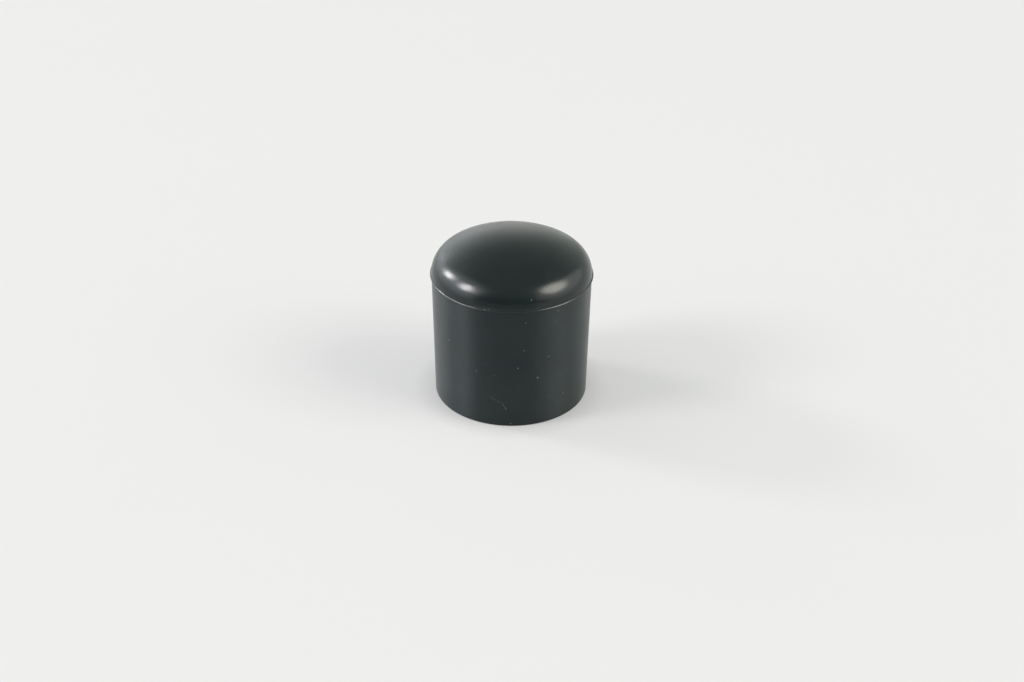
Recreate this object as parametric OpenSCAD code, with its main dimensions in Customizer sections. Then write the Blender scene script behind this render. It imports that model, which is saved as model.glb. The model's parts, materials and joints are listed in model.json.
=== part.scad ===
// Push-on end cap for a round tube: one moulding in black plastic, with a
// drafted skirt, a domed crown, and the thin line of flash where the two
// halves of the mould met. It stands on its open mouth, crown up, and the
// origin is the centre of the mouth.

/* [Socket] */
// Outside diameter of the tube that the cap is pushed on
tube_d = 25; // [20:0.5:32]
// How much smaller than the tube the socket is, on the radius
grip = 0.1; // [0.05:0.05:0.3]
// Depth of the socket, from the mouth to the ledge that the tube stops on
socket_depth = 26; // [18:0.5:40]
// Width of the ledge that the tube stops on
ledge_w = 1.5; // [1.2:0.1:3]
// Radius of the fillet between the socket's wall and the ledge
ledge_fillet = 0.4; // [0.2:0.1:0.8]
// Height of the lead-in chamfer at the mouth
lead_in_h = 0.8; // [0.4:0.1:1.5]
// How far the lead-in chamfer opens the mouth, on the radius
lead_in_w = 0.4; // [0.2:0.05:0.6]

/* [Skirt] */
// Thickness of the skirt's wall at the mouth
wall_t = 2.1; // [1.6:0.1:3]
// Draft of the skirt's outside, in degrees
draft = 0.9; // [0.5:0.1:1.5]
// Radius on the outer edge of the mouth
rim_r = 0.25; // [0.1:0.05:0.5]

/* [Crown] */
// Height of the crown above the parting line
crown_h = 7.7; // [7:0.1:9]
// Radius of the shoulder between the skirt and the crown
shoulder_r = 5; // [4:0.1:6]
// Thickness of the crown over the recess in its underside
crown_t = 2.4; // [1.8:0.1:3]
// How far the ledge lies above the parting line
ledge_rise = 1.3; // [0.5:0.1:2]
// How far the crown's foot overhangs the skirt, on the radius
overhang = 0.08; // [0:0.02:0.3]

/* [Flash] */
// How far the flash stands proud of the crown's foot
flash_proud = 0.24; // [0.1:0.02:0.3]
// Thickness of the flash
flash_t = 0.2; // [0.1:0.02:0.3]

/* [Hidden] */
$fn = 180;

// How far a cut runs on past the face that it opens.
past = 1;
// How far the shoulder's arc stands past the crown's where they meet, so
// that the two always cross.
crossing = 0.0005;

socket_r = tube_d / 2 - grip;
recess_r = socket_r - ledge_w;
mouth_r = socket_r + wall_t;
skirt_h = socket_depth - ledge_rise;
skirt_top_r = mouth_r + (skirt_h - rim_r) * tan(draft);
foot_r = skirt_top_r + overhang;
flash_r = foot_r + flash_proud;
cap_h = skirt_h + crown_h;

// The shoulder's arc leaves the parting line upright, and the crown's arc
// meets it with a common tangent.
shoulder_x = foot_r - shoulder_r;
tangent_r = shoulder_r - crossing;
crown_r = (shoulder_x * shoulder_x + crown_h * crown_h - tangent_r * tangent_r)
    / (2 * (crown_h - tangent_r));
crown_z = cap_h - crown_r;
join_angle = atan2(skirt_h - crown_z, shoulder_x);

// Half section of the skirt as a full bar: the rounding at the mouth, and
// above it the drafted wall.
module skirt_section() {
    translate([mouth_r - rim_r, rim_r])
        intersection() {
            circle(r = rim_r);
            translate([0, -rim_r]) square(rim_r);
        }
    square([mouth_r - rim_r, rim_r]);
    polygon([[0, rim_r], [mouth_r, rim_r], [skirt_top_r, skirt_h], [0, skirt_h]]);
}

// Half section of the crown: a sector under the crown's arc, and a quadrant
// under the shoulder's.
module crown_section() {
    reach = 2 * crown_h;
    intersection() {
        translate([0, crown_z]) circle(r = crown_r);
        translate([0, skirt_h])
            polygon([
                [0, 0],
                [shoulder_x, 0],
                [shoulder_x + reach * cos(join_angle), reach * sin(join_angle)],
                [0, reach]
            ]);
    }
    translate([shoulder_x, skirt_h])
        intersection() {
            circle(r = shoulder_r);
            square(shoulder_r);
        }
}

// Half section of the flash, rooted in the skirt, with a round edge.
module flash_section() {
    root_r = skirt_top_r - flash_t;
    edge_r = flash_r - flash_t / 2;
    translate([root_r, skirt_h - flash_t / 2]) square([edge_r - root_r, flash_t]);
    translate([edge_r, skirt_h]) circle(r = flash_t / 2);
}

// Half section of the socket: the lead-in, the wall that grips the tube, and
// the fillet up to the ledge.
module socket_section() {
    polygon([
        [0, -lead_in_h],
        [socket_r + 2 * lead_in_w, -lead_in_h],
        [socket_r, lead_in_h],
        [0, lead_in_h]
    ]);
    square([socket_r, socket_depth - ledge_fillet]);
    square([socket_r - ledge_fillet, socket_depth]);
    translate([socket_r - ledge_fillet, socket_depth - ledge_fillet])
        circle(r = ledge_fillet);
}

// Half section of the recess above the ledge, which follows the crown's
// outside so that the moulding has an even thickness.
module recess_section() {
    intersection() {
        translate([0, crown_z]) circle(r = crown_r - crown_t);
        translate([0, socket_depth - past]) square([recess_r, crown_h]);
    }
}

module end_cap() {
    color([0.09, 0.1, 0.11])
        rotate_extrude()
            difference() {
                union() {
                    skirt_section();
                    crown_section();
                    flash_section();
                }
                socket_section();
                recess_section();
            }
}

end_cap();
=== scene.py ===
# Looks of the tube end cap: the moulding's surface, a plain studio, and the camera.
# Lengths are in metres. Azimuths are in degrees, seen from above, from the front (-Y) towards +X.
import json
import math

import bpy
from mathutils import Matrix, Vector, noise


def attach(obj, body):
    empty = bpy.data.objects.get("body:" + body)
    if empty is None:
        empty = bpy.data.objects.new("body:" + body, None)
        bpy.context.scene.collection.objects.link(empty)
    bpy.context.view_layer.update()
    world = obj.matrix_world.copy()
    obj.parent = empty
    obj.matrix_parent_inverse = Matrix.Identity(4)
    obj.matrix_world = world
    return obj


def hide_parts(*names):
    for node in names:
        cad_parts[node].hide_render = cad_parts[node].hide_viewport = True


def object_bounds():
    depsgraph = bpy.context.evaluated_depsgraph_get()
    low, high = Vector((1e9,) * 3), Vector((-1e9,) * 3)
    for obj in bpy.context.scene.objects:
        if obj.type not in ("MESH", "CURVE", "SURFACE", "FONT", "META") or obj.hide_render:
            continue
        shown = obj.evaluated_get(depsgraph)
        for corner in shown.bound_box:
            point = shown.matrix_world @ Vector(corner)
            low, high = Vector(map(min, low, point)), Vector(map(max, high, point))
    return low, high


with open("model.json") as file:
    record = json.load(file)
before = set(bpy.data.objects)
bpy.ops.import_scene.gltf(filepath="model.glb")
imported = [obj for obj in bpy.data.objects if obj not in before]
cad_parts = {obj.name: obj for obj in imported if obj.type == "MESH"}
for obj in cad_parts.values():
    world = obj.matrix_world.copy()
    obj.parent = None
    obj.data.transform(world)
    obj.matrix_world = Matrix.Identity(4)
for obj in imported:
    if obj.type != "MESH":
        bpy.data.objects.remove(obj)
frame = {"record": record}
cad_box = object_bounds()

MM = 0.001
CAD_NODE = "end_cap"

# ---------------------------------------------------------------- the moulding's sizes
# The frame gives the overall height, the reach of the flash and the socket that the tube goes into.
# The other sizes are the part's own.
MOUNTS = {mount["name"]: mount for mount in frame["record"]["mounts"]}
CAP_H = cad_box[1].z
FLASH_R = cad_box[1].x
SOCKET_R = MOUNTS["tube_socket"]["dims"]["r_mm"] * MM
SOCKET_DEPTH = MOUNTS["tube_stop"]["pos_m"][2]
LEDGE_W = 1.5 * MM
LEDGE_FILLET = 0.4 * MM
LEAD_IN_H = 0.8 * MM
LEAD_IN_W = 0.4 * MM
WALL_T = 2.1 * MM
DRAFT = math.radians(0.9)
RIM_R = 0.25 * MM
SKIRT_H = 24.7 * MM
OVERHANG = 0.08 * MM
SHOULDER_R = 5 * MM
CROWN_T = 2.4 * MM
FLASH_T = 0.2 * MM
# The flash's edge: its small round lower lip, and the bevel above it that catches the light.
FLASH_LIP_R = 0.06 * MM
FLASH_BEVEL_W = 0.13 * MM
FLASH_BEVEL_ANGLE = 38
FLASH_TOP = SKIRT_H + 0.15 * MM

MOUTH_R = SOCKET_R + WALL_T
SKIRT_TOP_R = MOUTH_R + (SKIRT_H - RIM_R) * math.tan(DRAFT)
FOOT_R = SKIRT_TOP_R + OVERHANG
RECESS_R = SOCKET_R - LEDGE_W
CROWN_H = CAP_H - SKIRT_H
# The shoulder's arc and the crown's meet with a common tangent, which sets the crown's radius.
SHOULDER_X = FOOT_R - SHOULDER_R
CROWN_R = (SHOULDER_X ** 2 + CROWN_H ** 2 - SHOULDER_R ** 2) / (2 * (CROWN_H - SHOULDER_R))
CROWN_Z = CAP_H - CROWN_R
JOIN_ANGLE = math.degrees(math.atan2(SKIRT_H - CROWN_Z, SHOULDER_X))
RECESS_TOP_R = CROWN_R - CROWN_T
RECESS_ANGLE = math.degrees(math.acos(RECESS_R / RECESS_TOP_R))

# How ragged the flash is: how much of it can be missing, and how far its edge wanders up and down.
FLASH_LOSS = 0.09 * MM
FLASH_WANDER = 0.025 * MM
# What the loss is made of: an even part, long lumps and short nicks.
EVEN_SHARE = 0.15
LUMP_SHARE = 0.6
NICK_SHARE = 0.25
# The circle that ragged() goes round in the noise, for the lumps, the nicks and the wandering: its
# level and its radius. A wider circle changes faster round the cap.
LUMPS = (3.1, 4)
NICKS = (7.7, 23)
WAVES = (11.3, 9)
# How strongly the noise moves ragged() from its middle value.
NOISE_GAIN = 0.8

# The facets round the cap, and the angle between faces below which they are shaded smooth.
SEGMENTS = 360
SMOOTH_BELOW = math.radians(35)
# The mesh's material slots, in the order of FINISHES.
ON_CROWN, ON_SKIRT, ON_FLASH = range(3)


def arc(centre, radius, start, end, steps):
    """Points on an arc of the half section, between two angles in degrees."""
    angles = [math.radians(start + (end - start) * i / steps) for i in range(steps + 1)]
    return [(centre[0] + radius * math.cos(a), centre[1] + radius * math.sin(a)) for a in angles]


def line(start, end, steps):
    """Points on a straight stretch of the half section, its start left out."""
    return [
        (start[0] + (end[0] - start[0]) * i / steps, start[1] + (end[1] - start[1]) * i / steps)
        for i in range(1, steps + 1)
    ]


def inside_section():
    """The half section from beside the recess's middle, down the socket, to the mouth."""
    points = arc((0, CROWN_Z), RECESS_TOP_R, 90, RECESS_ANGLE, steps=16)[1:]
    points += line(points[-1], (RECESS_R, SOCKET_DEPTH), steps=2)
    fillet = (SOCKET_R - LEDGE_FILLET, SOCKET_DEPTH - LEDGE_FILLET)
    points += arc(fillet, LEDGE_FILLET, 90, 0, steps=6)
    points += line(points[-1], (SOCKET_R, LEAD_IN_H), steps=8)
    points += line(points[-1], (SOCKET_R + LEAD_IN_W, 0), steps=2)
    return points


def skirt_section():
    """The half section from the mouth, up the outside, to the underside of the flash."""
    points = arc((MOUTH_R - RIM_R, RIM_R), RIM_R, -90, 0, steps=6)
    under_flash = SKIRT_H - FLASH_T / 2
    points += line(points[-1], (SKIRT_TOP_R, under_flash), steps=16)
    return points


def flash_section():
    """The half section of the flash's edge: a round lower lip and a bevel over it."""
    centre = (FLASH_R - FLASH_LIP_R, SKIRT_H - FLASH_T / 2 + FLASH_LIP_R)
    points = arc(centre, FLASH_LIP_R, -90, FLASH_BEVEL_ANGLE, steps=8)
    slope = math.radians(FLASH_BEVEL_ANGLE)
    rise = (-math.sin(slope) * FLASH_BEVEL_W, math.cos(slope) * FLASH_BEVEL_W)
    return points + [(points[-1][0] + rise[0], points[-1][1] + rise[1])]


def crown_section():
    """The half section from the top of the flash, up the shoulder, to beside the crown's top."""
    foot_angle = math.degrees(math.asin((FLASH_TOP - SKIRT_H) / SHOULDER_R))
    points = arc((SHOULDER_X, SKIRT_H), SHOULDER_R, foot_angle, JOIN_ANGLE, steps=20)
    points += arc((0, CROWN_Z), CROWN_R, JOIN_ANGLE, 90, steps=28)[1:-1]
    return points


def ragged(angle, level, radius):
    """A value from 0 to 1 that wanders round the cap and closes on itself."""
    place = Vector((radius * math.cos(angle), radius * math.sin(angle), level))
    return min(max(0.5 + noise.noise(place) * NOISE_GAIN, 0), 1)


def turned_points(section, on_flash):
    """The half section turned round the axis, with the flash's edge made ragged."""
    points = []
    for i in range(SEGMENTS):
        angle = math.tau * i / SEGMENTS
        uneven = LUMP_SHARE * ragged(angle, *LUMPS) + NICK_SHARE * ragged(angle, *NICKS)
        loss = FLASH_LOSS * (EVEN_SHARE + uneven)
        wander = FLASH_WANDER * (2 * ragged(angle, *WAVES) - 1)
        for k, (radius, height) in enumerate(section):
            if k in on_flash:
                radius -= loss
                height += wander
            points.append((radius * math.cos(angle), radius * math.sin(angle), height))
    return points


def finish_of(k, on_flash):
    """The material slot of the faces between points k and k + 1 of the half section."""
    if k in on_flash:
        return ON_FLASH
    return ON_SKIRT if k < on_flash[0] else ON_CROWN


def make_cap():
    """The moulding, turned from its half section, with a slightly ragged flash."""
    flash = flash_section()
    before = inside_section() + skirt_section()
    section = before + flash + crown_section()
    on_flash = range(len(before), len(before) + len(flash))
    rows = len(section)
    vertices = turned_points(section, on_flash)
    recess_middle = len(vertices)
    crown_top = recess_middle + 1
    vertices += [(0, 0, CROWN_Z + RECESS_TOP_R), (0, 0, CAP_H)]

    # Where each facet's two columns of points begin.
    facets = [(i * rows, (i + 1) % SEGMENTS * rows) for i in range(SEGMENTS)]
    faces = []
    finishes = []
    for here, there in facets:
        for k in range(rows - 1):
            faces.append((here + k, there + k, there + k + 1, here + k + 1))
            finishes.append(finish_of(k, on_flash))
    for here, there in facets:
        faces.append((recess_middle, there, here))
        finishes.append(ON_SKIRT)
        faces.append((crown_top, here + rows - 1, there + rows - 1))
        finishes.append(ON_CROWN)

    mesh = bpy.data.meshes.new("cap_moulding")
    mesh.from_pydata(vertices, [], faces)
    mesh.polygons.foreach_set("material_index", finishes)
    mesh.validate()
    mesh.shade_smooth()
    mesh.set_sharp_from_angle(angle=SMOOTH_BELOW)
    cap = bpy.data.objects.new("cap_moulding", mesh)
    bpy.context.collection.objects.link(cap)
    return cap


# ---------------------------------------------------------------- the plastic
PLASTIC_COLOUR = (0.0010, 0.0052, 0.0064)
DUST_COLOUR = (0.38, 0.41, 0.42, 1)
# Fine marks round the mould draw the skirt's reflections out along the cap's axis. A little sheen
# lightens it where it turns away, and its reflections are slightly cooler than the crown's.
SKIRT_TEXTURE = {
    "Anisotropic": 0.9,
    "Anisotropic Rotation": 0.25,
    "Sheen Weight": 0.35,
    "Sheen Roughness": 0.3,
    "Specular Tint": (0.92, 1.0, 1.03, 1),
}
# The finishes: name, roughness, index of refraction, strength of the pores, and any further texture.
FINISHES = [
    ("cap_crown", 0.25, 1.51, 0.02, {}),
    ("cap_skirt", 0.38, 1.49, 0.15, SKIRT_TEXTURE),
    ("cap_flash", 0.29, 1.6, 0.15, {}),
]
# The unevenness that all the finishes share. A scale is about how many lumps there are to a metre.
CLOUD_SCALE = 260.0
SMEAR_SCALE = 120.0
RIPPLE_SCALE = 520.0
PORE_SCALE = 6000.0
RIPPLE_DEPTH = 0.004 * MM
PORE_DEPTH = 0.02 * MM
# The range that most of a noise lies in, and the factors that its two ends put on the colour and on
# the roughness.
NOISE_RANGE = (0.3, 0.7)
CLOUD_SHADES = (0.8, 1.2)
SMEAR_SHADES = (0.9, 1.12)

# Specks of dust: azimuth in degrees, height and radius in mm, and how much each covers. The two near
# 24.8 mm are the blemish on the flash.
DUST = [
    (-50.8, 15.5, 0.10, 0.8),
    (-25.5, 11.3, 0.13, 0.22),
    (-18.5, 24.75, 0.13, 0.5),
    (-15.5, 24.85, 0.10, 0.3),
    (-12.0, 11.0, 0.10, 0.2),
    (0.0, 0.6, 0.13, 0.35),
    (5.0, 12.8, 0.14, 0.32),
    (9.2, 16.5, 0.13, 0.24),
    (10.0, 22.3, 0.13, 0.2),
    (14.0, 26.7, 0.13, 0.28),
    (19.5, 10.3, 0.11, 0.8),
    (27.5, 14.4, 0.14, 0.24),
    (32.8, 21.2, 0.10, 0.15),
    (34.2, 23.5, 0.16, 0.18),
    (41.8, 5.1, 0.11, 0.4),
    (45.0, 9.9, 0.10, 0.15),
    (48.2, 20.9, 0.10, 0.15),
    (51.0, 1.3, 0.10, 0.3),
]
# Where a speck begins and where it covers in full, in shares of its radius.
SPECK_EDGE = (1.45, 0.35)
# A fine hair that lies on the skirt: azimuth in degrees and height in mm, from end to end.
HAIR = [(-15.0, 6.2), (-11.2, 5.7), (-6.2, 5.05), (-4.2, 4.3), (-3.2, 3.7)]
HAIR_WIDTH = 0.055 * MM
# Where the hair begins and where it covers in full, in shares of its width, and how much it covers.
HAIR_EDGE = (1.5, 0.6)
HAIR_COVER = 0.4
# The faint scatter of dust all over is made of cells, of which some hold a grain: how many cells there
# are to a metre, the range of the random value over which a cell comes to hold one, where a grain
# begins and covers in full in its cell, and how much it covers.
SCATTER_SCALE = 420.0
SCATTER_CHOICE = (0.55, 0.7)
SCATTER_EDGE = (0.06, 0.02)
SCATTER_COVER = 0.15


class Graph:
    """A short way to fill the node tree of a material or a world, which it empties first."""

    def __init__(self, owner):
        owner.use_nodes = True
        self.tree = owner.node_tree
        self.tree.nodes.clear()

    def add(self, kind, inputs=(), **settings):
        """Adds a node. inputs maps a socket's name or number to a value or to another output."""
        made = self.tree.nodes.new(kind)
        for name, value in settings.items():
            setattr(made, name, value)
        for key, value in dict(inputs).items():
            if isinstance(value, bpy.types.NodeSocket):
                self.tree.links.new(value, made.inputs[key])
            else:
                made.inputs[key].default_value = value
        return made

    def maths(self, operation, *values):
        """A Math node's output."""
        return self.add("ShaderNodeMath", enumerate(values), operation=operation).outputs[0]

    def vector(self, operation, *values, out=0):
        """A Vector Math node's output."""
        made = self.add("ShaderNodeVectorMath", enumerate(values), operation=operation)
        return made.outputs[out]

    def scaled(self, value, factor):
        """A vector or a colour times a number."""
        sockets = {0: value, "Scale": factor}
        return self.add("ShaderNodeVectorMath", sockets, operation="SCALE").outputs[0]

    def ramp(self, value, low, high, to_low=0.0, to_high=1.0):
        """Maps low..high smoothly to to_low..to_high, and holds it there outside."""
        sockets = {
            "Value": value,
            "From Min": low,
            "From Max": high,
            "To Min": to_low,
            "To Max": to_high,
        }
        made = self.add("ShaderNodeMapRange", sockets, interpolation_type="SMOOTHSTEP")
        return made.outputs["Result"]

    def noise(self, where, scale, detail=2.0, roughness=0.5):
        """A noise texture's value."""
        sockets = {"Vector": where, "Scale": scale, "Detail": detail, "Roughness": roughness}
        return self.add("ShaderNodeTexNoise", sockets).outputs["Fac"]

    def mix(self, factor, first, second):
        """A mix of two colours."""
        sockets = {0: factor, 6: first, 7: second}
        return self.add("ShaderNodeMix", sockets, data_type="RGBA").outputs[2]

    def bump(self, height, strength, distance, **more):
        """A Bump node's normal."""
        sockets = {"Height": height, "Strength": strength, "Distance": distance}
        return self.add("ShaderNodeBump", sockets | more).outputs[0]


def on_surface(azimuth, height):
    """The point of the cap's outside at an azimuth in degrees and a height in mm."""
    z = height * MM
    if z < SKIRT_H:
        radius = MOUTH_R + (z - RIM_R) * math.tan(DRAFT)
    else:
        radius = SHOULDER_X + math.sqrt(SHOULDER_R ** 2 - (z - SKIRT_H) ** 2)
    turn = math.radians(azimuth)
    return (radius * math.sin(turn), -radius * math.cos(turn), z)


def speck_mask(graph, where, azimuth, height, radius, cover):
    """How much one speck of dust covers the plastic."""
    away = graph.vector("DISTANCE", where, on_surface(azimuth, height), out=1)
    begin, full = [share * radius * MM for share in SPECK_EDGE]
    return graph.ramp(away, begin, full, 0.0, cover)


def stretch_mask(graph, where, start, end):
    """How much one straight stretch of the hair covers the plastic."""
    first = Vector(on_surface(*start))
    run = Vector(on_surface(*end)) - first
    from_first = graph.vector("SUBTRACT", where, first)
    along = graph.vector("DOT_PRODUCT", from_first, run / run.length_squared, out=1)
    nearest = graph.scaled(run, graph.ramp(along, 0.0, 1.0))
    away = graph.vector("DISTANCE", from_first, nearest, out=1)
    begin, full = [share * HAIR_WIDTH for share in HAIR_EDGE]
    return graph.ramp(away, begin, full, 0.0, HAIR_COVER)


def scatter_mask(graph, where):
    """How much the faint scatter of dust covers the plastic."""
    cells = graph.add("ShaderNodeTexVoronoi", {"Vector": where, "Scale": SCATTER_SCALE}).outputs
    chance = graph.add("ShaderNodeSeparateColor", {0: cells["Color"]}).outputs[0]
    chosen = graph.ramp(chance, *SCATTER_CHOICE)
    grain = graph.ramp(cells["Distance"], *SCATTER_EDGE, 0.0, SCATTER_COVER)
    return graph.maths("MULTIPLY", chosen, grain)


def dust_mask(graph, where):
    """How much dust covers the plastic: the listed specks, the hair and the scatter."""
    masks = [speck_mask(graph, where, *speck) for speck in DUST]
    masks += [stretch_mask(graph, where, start, end) for start, end in zip(HAIR, HAIR[1:])]
    total = scatter_mask(graph, where)
    for mask in masks:
        total = graph.maths("MAXIMUM", total, mask)
    return total


def moulded_plastic(name, roughness, ior, pores, texture):
    """Black moulded plastic with a little dust, at one of the moulding's finishes."""
    material = bpy.data.materials.new(name)
    graph = Graph(material)
    where = graph.add("ShaderNodeTexCoord").outputs["Object"]
    dust = dust_mask(graph, where)

    cloud = graph.noise(where, CLOUD_SCALE, detail=3.0)
    plastic = graph.scaled(PLASTIC_COLOUR, graph.ramp(cloud, *NOISE_RANGE, *CLOUD_SHADES))
    colour = graph.mix(dust, plastic, DUST_COLOUR)

    smear = graph.noise(where, SMEAR_SCALE, detail=4.0, roughness=0.6)
    smooth, dull = [shade * roughness for shade in SMEAR_SHADES]
    rough = graph.ramp(smear, *NOISE_RANGE, smooth, dull)
    rough = graph.maths("MAXIMUM", rough, dust)

    ripple = graph.bump(graph.noise(where, RIPPLE_SCALE, detail=1.5), 1.0, RIPPLE_DEPTH)
    grain = graph.bump(graph.noise(where, PORE_SCALE), pores, PORE_DEPTH, Normal=ripple)

    sockets = {"Base Color": colour, "Roughness": rough, "IOR": ior, "Normal": grain}
    if "Anisotropic" in texture:
        round_mould = graph.add("ShaderNodeTangent", direction_type="RADIAL", axis="Z")
        sockets["Tangent"] = round_mould.outputs[0]
    surface = graph.add("ShaderNodeBsdfPrincipled", sockets | texture)
    graph.add("ShaderNodeOutputMaterial", {"Surface": surface.outputs[0]})
    return material


# ---------------------------------------------------------------- the studio
FLOOR_COLOUR = (0.684, 0.682, 0.684)
# How much of the floor's own colour shows by itself, and not by the light that falls on it.
FLOOR_FILL = 0.5
FLOOR_SIZE = 12.0
# The painted shade where the floor meets the cap, which darkens the floor's colour: how far it
# reaches, how deep it is, and how many rays measure it.
PAINTED_SHADE_REACH = 5 * MM
PAINTED_SHADE_DEPTH = 0.35
PAINTED_SHADE_SAMPLES = 16
# A grey card in front of the cap that only the cap's reflections see, a painted dark reflection on the
# cap:
# its left, right, front and top, and its colour.
CARD = (-90 * MM, 45 * MM, -75 * MM, 23 * MM)
PAINTED_REFLECTION_GREY = (0.42, 0.44, 0.43, 1)
LAMP_DISTANCE = 3.0
# Soft lamps: name, azimuth and elevation, width and height as seen from the cap (all in degrees),
# brightness where white is 1, and colour.
LAMPS = [
    ("window_left", -112, 25, 13, 14, 29.0, (1.0, 0.97, 0.98)),
    ("window_front_left", -74, 31.5, 17, 22, 18.0, (1.0, 0.96, 0.98)),
    ("window_reveal", -60, 27, 16, 12, 1.5, (1.0, 1.0, 0.97)),
    ("window_glow", -86, 38, 64, 44, 0.8, (0.98, 0.98, 1.0)),
    ("window_back_left", -143, 18, 14, 14, 1.5, (1.0, 0.99, 0.97)),
    ("softbox_right", 72, 36.5, 34, 32, 7.0, (1.0, 0.98, 0.88)),
    ("softbox_right_glow", 80, 24, 86, 46, 0.8, (1.0, 1.0, 0.97)),
]
# The room round the cap, where white is 1. Each wall after the back wall is laid over those before
# it. It comes in along one axis of the direction looked in, between the two values given.
BACK_WALL = (1.18, 1.20, 1.15, 1)
LEFT_WALL = ("X", 0.0, -0.6, (1.65, 1.76, 1.82, 1))
RIGHT_WALL = ("X", 0.0, 0.35, (0.68, 0.74, 0.68, 1))
FRONT_WALL = ("Y", -0.4, -0.72, (0.25, 0.27, 0.26, 1))
CEILING = ("Z", 0.15, 0.85, (0.42, 0.46, 0.42, 1))


def direction(azimuth, elevation):
    """The unit vector towards an azimuth and an elevation in degrees."""
    turn = math.radians(azimuth)
    rise = math.radians(elevation)
    return Vector((math.sin(turn) * math.cos(rise), -math.cos(turn) * math.cos(rise), math.sin(rise)))


def make_lamp(name, azimuth, elevation, width, height, brightness, colour):
    """An area lamp, far off, that faces the cap."""
    light = bpy.data.lights.new(name, "AREA")
    light.shape = "ELLIPSE"
    light.size = 2 * LAMP_DISTANCE * math.tan(math.radians(width) / 2)
    light.size_y = 2 * LAMP_DISTANCE * math.tan(math.radians(height) / 2)
    area = math.pi / 4 * light.size * light.size_y
    light.energy = math.pi * area * brightness
    light.color = colour
    lamp = bpy.data.objects.new(name, light)
    towards = direction(azimuth, elevation)
    lamp.location = towards * LAMP_DISTANCE
    lamp.rotation_euler = towards.to_track_quat("Z", "Y").to_euler()
    lamp.visible_camera = False
    bpy.context.collection.objects.link(lamp)


def make_room():
    """The world: the back wall, with the other walls and the ceiling laid over it."""
    world = bpy.data.worlds.new("room")
    graph = Graph(world)
    towards = graph.add("ShaderNodeTexCoord").outputs["Generated"]
    axes = graph.add("ShaderNodeSeparateXYZ", {0: towards}).outputs
    room = BACK_WALL
    for axis, begin, full, colour in (LEFT_WALL, RIGHT_WALL, FRONT_WALL, CEILING):
        room = graph.mix(graph.ramp(axes[axis], begin, full), room, colour)
    background = graph.add("ShaderNodeBackground", {"Color": room, "Strength": 1.0})
    graph.add("ShaderNodeOutputWorld", {"Surface": background.outputs[0]})
    bpy.context.scene.world = world


def floor_paper():
    """Pale matt paper. Part of its colour shows without light, so that the shadows on it stay soft.
    Near the cap its colour and its glow are darkened, a painted shade.
    """
    material = bpy.data.materials.new("floor_paper")
    graph = Graph(material)
    sockets = {"Distance": PAINTED_SHADE_REACH}
    occlusion = graph.add("ShaderNodeAmbientOcclusion", sockets, samples=PAINTED_SHADE_SAMPLES)
    open_air = occlusion.outputs["AO"]
    # Painted shade: the occlusion darkens the floor's colour and its glow near the cap.
    painted_shade = graph.maths("MULTIPLY_ADD", open_air, PAINTED_SHADE_DEPTH, 1 - PAINTED_SHADE_DEPTH)
    lit_colour = [(1 - FLOOR_FILL) * channel for channel in FLOOR_COLOUR]
    paper = graph.add("ShaderNodeBsdfDiffuse", {"Color": graph.scaled(lit_colour, painted_shade)})

    ray = graph.add("ShaderNodeLightPath").outputs
    seen = graph.maths("MAXIMUM", ray["Is Camera Ray"], ray["Is Glossy Ray"])
    seen = graph.maths("MAXIMUM", seen, ray["Is Transmission Ray"])
    strength = graph.maths("MULTIPLY", graph.maths("MULTIPLY", seen, painted_shade), FLOOR_FILL)
    fill = graph.add("ShaderNodeEmission", {"Color": (*FLOOR_COLOUR, 1), "Strength": strength})
    both = graph.add("ShaderNodeAddShader", {0: paper.outputs[0], 1: fill.outputs[0]})
    graph.add("ShaderNodeOutputMaterial", {"Surface": both.outputs[0]})
    return material


def painted_reflection_board():
    """The grey card's surface, which glows with its colour without light, a painted dark reflection on
    the cap.
    """
    material = bpy.data.materials.new("painted_reflection_card")
    graph = Graph(material)
    grey = graph.add("ShaderNodeEmission", {"Color": PAINTED_REFLECTION_GREY})
    graph.add("ShaderNodeOutputMaterial", {"Surface": grey.outputs[0]})
    return material


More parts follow.
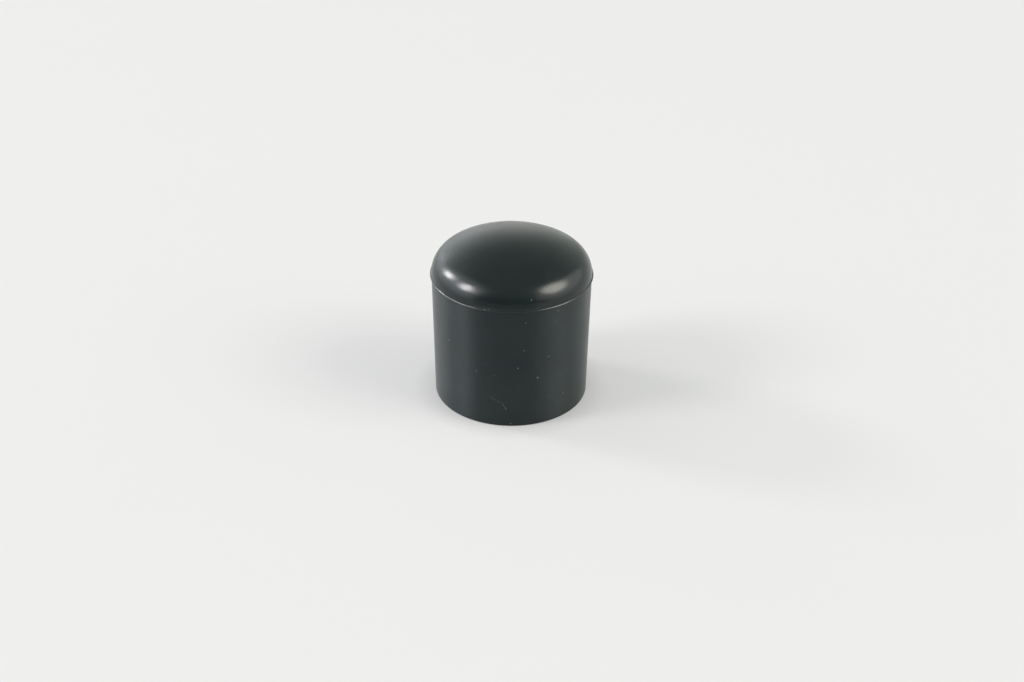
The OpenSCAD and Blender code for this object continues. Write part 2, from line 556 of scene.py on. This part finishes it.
def make_sheet(name, corners, material):
    """A flat sheet of the studio."""
    mesh = bpy.data.meshes.new(name)
    mesh.from_pydata(corners, [], [(0, 1, 2, 3)])
    mesh.materials.append(material)
    sheet = bpy.data.objects.new(name, mesh)
    bpy.context.collection.objects.link(sheet)
    return sheet


def make_floor():
    """A pale matt floor, wide enough to fill the view."""
    half = FLOOR_SIZE / 2
    corners = [(-half, -half, 0), (half, -half, 0), (half, half, 0), (-half, half, 0)]
    make_sheet("floor", corners, floor_paper())


def make_painted_reflection_card():
    """The grey card, a painted dark reflection on the cap. Only reflections see it, and it doesn't
    light or shade the floor.
    """
    left, right, front, top = CARD
    corners = [(left, front, 0), (right, front, 0), (right, front, top), (left, front, top)]
    card = make_sheet("painted_reflection_card", corners, painted_reflection_board())
    card.visible_camera = False
    card.visible_diffuse = False
    card.visible_shadow = False


# ---------------------------------------------------------------- the camera
CAMERA_PLACE = Vector((0, -246.3, 157.65)) * MM
CAMERA_AIM = Vector((0.155, 0, 9.77)) * MM
CAMERA_ROLL = math.radians(0.47)
# The focal length and the sensor's width are in mm, as Blender takes them.
FOCAL_LENGTH = 53
SENSOR_WIDTH = 36
CLIP_START = 10 * MM


def make_camera():
    """The camera, slightly rolled, at the height that the photograph was taken from."""
    data = bpy.data.cameras.new("camera")
    data.lens = FOCAL_LENGTH
    data.sensor_width = SENSOR_WIDTH
    data.clip_start = CLIP_START
    camera = bpy.data.objects.new("camera", data)
    facing = (CAMERA_AIM - CAMERA_PLACE).to_track_quat("-Z", "Y").to_matrix()
    facing = facing @ Matrix.Rotation(CAMERA_ROLL, 3, "Z")
    camera.matrix_world = Matrix.Translation(CAMERA_PLACE) @ facing.to_4x4()
    bpy.context.collection.objects.link(camera)
    bpy.context.scene.camera = camera


make_camera()
make_room()
make_floor()
make_painted_reflection_card()
for lamp in LAMPS:
    make_lamp(*lamp)
cap = make_cap()
for finish in FINISHES:
    cap.data.materials.append(moulded_plastic(*finish))
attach(cap, "root")
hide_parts(CAD_NODE)
bpy.context.scene.view_settings.view_transform = "Standard"
